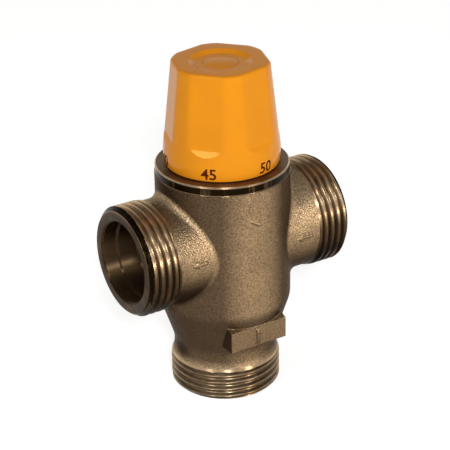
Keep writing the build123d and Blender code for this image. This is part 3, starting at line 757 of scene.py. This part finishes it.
def bar(length, width):
    """A plain bar about its middle."""
    end = length / 2
    half = width / 2
    return [(-end, -half), (end, -half), (end, half), (-end, half)]


def on_neck(centre, rise):
    """Coordinates on the front of a side neck, along the run and up."""
    def place(along, across, lift):
        turn = math.radians(rise) + across / NECK_RADIUS
        radius = NECK_RADIUS + lift
        up = RUN_HEIGHT + radius * math.sin(turn)
        return Vector((centre + along, -radius * math.cos(turn), up)) * MM
    return place


def on_barrel(azimuth, height, tilt):
    """Coordinates on the barrel, along a line that rises by a tilt to the right."""
    slope = math.radians(tilt)

    def place(along, across, lift):
        side = along * math.cos(slope) - across * math.sin(slope)
        up = along * math.sin(slope) + across * math.cos(slope)
        turn = math.radians(azimuth) + side / BARREL_RADIUS
        radius = BARREL_RADIUS + lift
        return Vector((radius * math.cos(turn), radius * math.sin(turn), height + up)) * MM
    return place


def on_pad(centre, height):
    """Coordinates on the front wrench pad, up and to the left."""
    def place(along, across, lift):
        return Vector((centre - across, -PAD_FACE - lift, height + along)) * MM
    return place


def dressed_body(finishes):
    """The body with helical threads in place of its rings, and its raised marks."""
    mesh = copied("valve_body")
    worn = []
    for face in mesh.faces:
        middle = face.calc_center_median()
        for port in PORTS:
            depth = port.depth(middle)
            if 0.001 < depth < THREAD_END + 0.05 and port.radius(middle) > OLD_THREAD_RADIUS:
                worn.append(face)
                break
    bmesh.ops.delete(mesh, geom=worn, context="FACES")
    for port in PORTS:
        add_thread(mesh, port)
    join_borders(mesh)
    add_mark(mesh, arrow(4.8), on_neck(-18.1, 4.3))
    add_mark(mesh, arrow(5.4), on_neck(18.6, -0.7))
    add_mark(mesh, bar(3.4, 0.35), on_barrel(265.8, 60.3, -31), BARREL_MARK_SHARE)
    add_mark(mesh, bar(4.6, 0.9), on_pad(-0.3, 22.3))
    for face in mesh.faces:
        face.material_index = region(face.calc_center_median())
    return finished("valve_body_cast", mesh, finishes, "root")


def cap_side(angle, height):
    """The cap's radius at an angle in degrees and a height, with soft corners."""
    if height < SKIRT_TOP:
        share = (height - CAP_BOTTOM) / (SKIRT_TOP - CAP_BOTTOM)
        bulge = SKIRT_BULGE * math.sin(math.pi * share)
        return FOOT_RADIUS + share * (SKIRT_RADIUS - FOOT_RADIUS) + bulge
    share = (height - SKIRT_TOP) / (CAP_TOP - SKIRT_TOP)
    cone = SKIRT_RADIUS + share * (TOP_RADIUS - SKIRT_RADIUS)
    sector = 360 / FLATS
    off = (angle - CAP_TURN + sector / 2) % sector - sector / 2
    depth = FLAT_DEPTH * min(max((height - LEDGE_LOW) / (LEDGE_TOP - LEDGE_LOW), 0.0), 1.0)
    if depth <= 0:
        return cone
    flat = (cone - depth) / math.cos(math.radians(off))
    near = max(CAP_BLEND * depth / FLAT_DEPTH - abs(cone - flat), 0.0)
    return min(cone, flat) - near * near / (4 * CAP_BLEND)


def cap_rows():
    """The heights, radius cuts and fixed radii of the rows that make the cap's outside."""
    rows = [("cut", CAP_BOTTOM, 3 * FOOT_ROUNDING), ("cut", CAP_BOTTOM, FOOT_ROUNDING)]
    rows.append(("cut", CAP_BOTTOM + 0.3 * FOOT_ROUNDING, 0.3 * FOOT_ROUNDING))
    rows.append(("cut", CAP_BOTTOM + FOOT_ROUNDING, 0.0))
    height = CAP_BOTTOM + 3 * FOOT_ROUNDING
    while height < LEDGE_LOW - 0.4:
        rows.append(("cut", height, 0.0))
        height += SKIRT_STEP
    height = LEDGE_LOW - 0.3
    while height < LEDGE_TOP + 0.8:
        rows.append(("cut", height, 0.0))
        height += LEDGE_STEP
    while height < CAP_TOP - CAP_EDGE - 0.3:
        rows.append(("cut", height, 0.0))
        height += SIDE_STEP
    for step in range(EDGE_STEPS + 1):
        turn = math.pi / 2 * step / EDGE_STEPS
        drop = CAP_EDGE * (1 - math.sin(turn))
        rows.append(("cut", CAP_TOP - drop, CAP_EDGE * (1 - math.cos(turn))))
    for radius in (11.4, 10.2, DISH_RADIUS + 0.25, DISH_RADIUS + 0.08):
        rows.append(("ring", CAP_TOP, radius))
    rows.append(("ring", CAP_TOP - 0.06, DISH_RADIUS - 0.02))
    inner = DISH_RADIUS - DISH_SLOPE
    rows.append(("ring", DISH_FLOOR + 0.14, inner + 0.08))
    rows.append(("ring", DISH_FLOOR + 0.03, inner - 0.06))
    for radius in (inner - 0.3, 7.0, 6.0):
        rows.append(("ring", DISH_FLOOR, radius))
    return rows


def dressed_cap(plastic):
    """The cap with its corners, ledges and edges softened as moulded.

    The solid's outside is taken away and a finer one is joined on.
    """
    mesh = copied("setting_cap")
    outside = []
    for face in mesh.faces:
        middle = face.calc_center_median() / MM
        radius = math.hypot(middle.x, middle.y)
        angle = math.degrees(math.atan2(middle.y, middle.x))
        on_side = radius > min(FOOT_INSIDE, cap_side(angle, max(middle.z, SKIRT_TOP)) - CAP_WALL)
        on_top = middle.z > DISH_FLOOR - 0.05 or (middle.z > TOP_HEIGHT and radius > TOP_INSIDE)
        if on_side or on_top:
            outside.append(face)
    bmesh.ops.delete(mesh, geom=outside, context="FACES")
    rings = []
    for kind, height, size in cap_rows():
        ring = []
        for step in range(CAP_SEGMENTS):
            angle = 360 * step / CAP_SEGMENTS
            radius = size if kind == "ring" else cap_side(angle, height) - size
            turn = math.radians(angle)
            corner = Vector((radius * math.cos(turn), radius * math.sin(turn), height))
            ring.append(mesh.verts.new(corner * MM))
        rings.append(ring)
    for lower, upper in zip(rings, rings[1:]):
        for step in range(CAP_SEGMENTS):
            after = (step + 1) % CAP_SEGMENTS
            mesh.faces.new((lower[step], lower[after], upper[after], upper[step]))
    join_borders(mesh)
    return finished("setting_cap_moulded", mesh, [plastic], "knob", sharp=50.0)


def closing_spring(node, steel):
    """A smooth copy of a coil spring, in place of its CAD node."""
    mesh = copied(node)
    piece = finished(node + "_coil", mesh, [steel], None)
    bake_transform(piece)
    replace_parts(piece, node)


def number_mesh(text):
    """A number as a thin flat mesh, centred across and standing on its foot, in millimetres."""
    curve = bpy.data.curves.new("number", "FONT")
    curve.body = text
    curve.extrude = 0.5
    curve.offset = NUMBER_WEIGHT
    holder = bpy.data.objects.new("number", curve)
    bpy.context.scene.collection.objects.link(holder)
    graph = bpy.context.evaluated_depsgraph_get()
    shape = bpy.data.meshes.new_from_object(holder.evaluated_get(graph))
    mesh = bmesh.new()
    mesh.from_mesh(shape)
    bpy.data.objects.remove(holder)
    bpy.data.curves.remove(curve)
    bpy.data.meshes.remove(shape)
    bmesh.ops.remove_doubles(mesh, verts=mesh.verts, dist=JOIN_DISTANCE)
    xs = [v.co.x for v in mesh.verts]
    ys = [v.co.y for v in mesh.verts]
    size = NUMBER_HEIGHT / (max(ys) - min(ys))
    for vert in mesh.verts:
        vert.co.x = (vert.co.x - (min(xs) + max(xs)) / 2) * size
        vert.co.y = (vert.co.y - min(ys)) * size
    reach = (max(xs) - min(xs)) * size / 2
    cuts = int(reach / NUMBER_STEP)
    planes = [((step * NUMBER_STEP, 0, 0), (1, 0, 0)) for step in range(-cuts, cuts + 1)]
    band = NUMBER_HEIGHT / NUMBER_BANDS
    planes += [((0, band * step, 0), (0, 1, 0)) for step in range(1, NUMBER_BANDS)]
    for place, normal in planes:
        whole = mesh.verts[:] + mesh.edges[:] + mesh.faces[:]
        bmesh.ops.bisect_plane(mesh, geom=whole, plane_co=place, plane_no=normal)
    bmesh.ops.remove_doubles(mesh, verts=mesh.verts, dist=JOIN_DISTANCE)
    bmesh.ops.dissolve_degenerate(mesh, edges=mesh.edges, dist=JOIN_DISTANCE)
    return mesh


def dial_numbers(ink):
    """Plain numbers printed round the cap's skirt, one under each flat."""
    mesh = bmesh.new()
    for side, number in enumerate(NUMBERS):
        digits = number_mesh(str(number))
        middle = FIRST_NUMBER + side * 360 / FLATS
        for vert in digits.verts:
            height = NUMBER_FOOT + vert.co.y
            angle = middle + math.degrees(vert.co.x / SKIRT_RADIUS)
            lift = INK_LIFT if vert.co.z > 0 else -INK_LIFT
            radius = cap_side(angle, height) + lift
            turn = math.radians(angle)
            vert.co = Vector((radius * math.cos(turn), radius * math.sin(turn), height)) * MM
        data = bpy.data.meshes.new("digits")
        digits.to_mesh(data)
        digits.free()
        mesh.from_mesh(data)
        bpy.data.meshes.remove(data)
    return finished("dial_numbers", mesh, [ink], "knob")


# Stage

def matrix_from(right, up, back, place):
    """A world matrix from three axes and a place in millimetres."""
    turned = Matrix((right, up, back)).transposed().to_4x4()
    turned.translation = Vector(place) * MM
    return turned


def add_camera():
    """The camera at the photograph's viewpoint."""
    azimuth = math.radians(CAMERA_AZIMUTH)
    rise = math.radians(CAMERA_ELEVATION)
    back = Vector((
        math.sin(azimuth) * math.cos(rise),
        -math.cos(azimuth) * math.cos(rise),
        math.sin(rise),
    ))
    place = back * CAMERA_DISTANCE + Vector((0, 0, AIM_HEIGHT))
    ahead = -back
    right = ahead.cross(Vector((0, 0, 1))).normalized()
    up = right.cross(ahead)
    yaw = Matrix.Rotation(math.radians(CAMERA_YAW), 3, up)
    ahead, right = yaw @ ahead, yaw @ right
    pitch = Matrix.Rotation(math.radians(CAMERA_PITCH), 3, right)
    ahead, up = pitch @ ahead, pitch @ up
    roll = Matrix.Rotation(math.radians(CAMERA_ROLL), 3, ahead)
    right, up = roll @ right, roll @ up
    data = bpy.data.cameras.new("camera")
    data.sensor_width = SENSOR
    data.sensor_fit = "HORIZONTAL"
    data.lens = FOCAL_PIXELS / IMAGE_PIXELS * SENSOR
    data.clip_start = 0.01
    data.clip_end = 50.0
    camera = bpy.data.objects.new("camera", data)
    bpy.context.scene.collection.objects.link(camera)
    camera.matrix_world = matrix_from(right, up, -ahead, place)
    bpy.context.scene.camera = camera


def add_lamp(name, azimuth, rise, size, power, tint):
    """A soft lamp that faces the valve, placed by its direction from it."""
    turn = math.radians(azimuth)
    tilt = math.radians(rise)
    level = math.cos(tilt)
    toward = Vector((math.cos(turn) * level, math.sin(turn) * level, math.sin(tilt)))
    data = bpy.data.lights.new(name, "AREA")
    data.shape = "RECTANGLE"
    data.size, data.size_y = size[0] * MM, size[1] * MM
    data.energy = power
    data.color = tint
    lamp = bpy.data.objects.new(name, data)
    bpy.context.scene.collection.objects.link(lamp)
    lamp.location = (toward * LAMP_DISTANCE + Vector((0, 0, AIM_HEIGHT))) * MM
    lamp.rotation_euler = toward.to_track_quat("Z", "Y").to_euler()


def shows_background(tree):
    """1 for the rays that should see the background as it is."""
    path = tree.nodes.new("ShaderNodeLightPath")
    first = tree.nodes.new("ShaderNodeMath")
    first.operation = "MAXIMUM"
    tree.links.new(path.outputs["Is Camera Ray"], first.inputs[0])
    tree.links.new(path.outputs["Is Glossy Ray"], first.inputs[1])
    second = tree.nodes.new("ShaderNodeMath")
    second.operation = "MAXIMUM"
    tree.links.new(first.outputs[0], second.inputs[0])
    tree.links.new(path.outputs["Is Transmission Ray"], second.inputs[1])
    return second.outputs[0]


def add_world():
    """A white background under a darker ceiling, with a low even light on the object."""
    world = bpy.data.worlds.new("studio")
    world.use_nodes = True
    bpy.context.scene.world = world
    tree = world.node_tree
    tree.nodes["Background"].inputs["Color"].default_value = (1, 1, 1, 1)
    level = tree.nodes.new("ShaderNodeMapRange")
    level.inputs["To Min"].default_value = WORLD_LIGHT
    tree.links.new(shows_background(tree), level.inputs["Value"])
    direction = tree.nodes.new("ShaderNodeTexCoord")
    split = tree.nodes.new("ShaderNodeSeparateXYZ")
    tree.links.new(direction.outputs["Generated"], split.inputs["Vector"])
    ceiling = tree.nodes.new("ShaderNodeMapRange")
    ceiling.interpolation_type = "SMOOTHSTEP"
    ceiling.inputs["From Min"].default_value = CEILING_START
    ceiling.inputs["From Max"].default_value = CEILING_END
    ceiling.inputs["To Min"].default_value = 1.0
    ceiling.inputs["To Max"].default_value = CEILING
    tree.links.new(split.outputs["Z"], ceiling.inputs["Value"])
    tree.links.new(ceiling.outputs["Result"], level.inputs["To Max"])
    tree.links.new(level.outputs["Result"], tree.nodes["Background"].inputs["Strength"])


def add_floor():
    """A plain pale floor that shows as white and keeps the valve's shadow."""
    mesh = bmesh.new()
    bmesh.ops.create_circle(mesh, cap_ends=True, segments=96, radius=FLOOR_RADIUS * MM)
    data = bpy.data.meshes.new("floor")
    mesh.to_mesh(data)
    mesh.free()
    look = Look("floor_paper")
    look.set(Base_Color=colour(238, 238, 236), Roughness=0.9, Specular_IOR_Level=0.1)
    lift = look.math("MULTIPLY", shows_background(look.tree), FLOOR_LIFT)
    look.set(Emission_Color=(1.0, 1.0, 1.0, 1.0), Emission_Strength=lift)
    data.materials.append(look.material)
    floor = bpy.data.objects.new("floor", data)
    floor.location.z = -FLOOR_DROP * MM
    bpy.context.scene.collection.objects.link(floor)


def paint_nodes(looks):
    """Give each CAD node that stays its material, by its slot in the record."""
    for part in frame["record"]["subparts"]:
        node = frame["nodes"][part["node"]]
        node.data.materials.clear()
        node.data.materials.append(looks[part["material_slot"]])


def make_looks():
    """Each material slot's own look: its two tones and the range of its roughness."""
    metals = {
        "turned_brass": ("bright_brass", (206, 176, 112), (186, 152, 90), 0.2, 0.34),
        "stainless_steel": ("stainless_steel", (190, 190, 188), (172, 172, 172), 0.2, 0.32),
        "element_copper": ("element_copper", (198, 138, 100), (178, 116, 82), 0.25, 0.4),
    }
    plastics = {
        "seal_rubber": ("seal_rubber", (34, 33, 32), (44, 43, 42), 0.5, 0.7),
        "shutter_plastic": ("shutter_plastic", (52, 50, 47), (62, 60, 56), 0.4, 0.55),
        "bearing_plastic": ("bearing_plastic", (228, 226, 218), (216, 214, 205), 0.35, 0.5),
    }
    looks = {"cast_brass": cast_metal(), "cap_plastic": cap_plastic()}
    for table, make in ((metals, plain_metal), (plastics, plain_plastic)):
        for slot, (name, light, dark, smooth, rough) in table.items():
            looks[slot] = make(name, colour(*light), colour(*dark), smooth, rough)
    return looks


looks = make_looks()
paint_nodes(looks)
finishes = [looks["cast_brass"], turned_metal(), band_metal(), bore_metal()]
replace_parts(dressed_body(finishes), "valve_body")
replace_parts(dressed_cap(looks["cap_plastic"]), "setting_cap")
dial_numbers(print_ink())
steel = looks["stainless_steel"]
closing_spring("overtravel_spring", steel)
closing_spring("return_spring", steel)

add_camera()
add_world()
add_floor()
for name, settings in LAMPS.items():
    add_lamp(name, *settings)

bpy.context.scene.view_settings.view_transform = "Standard"
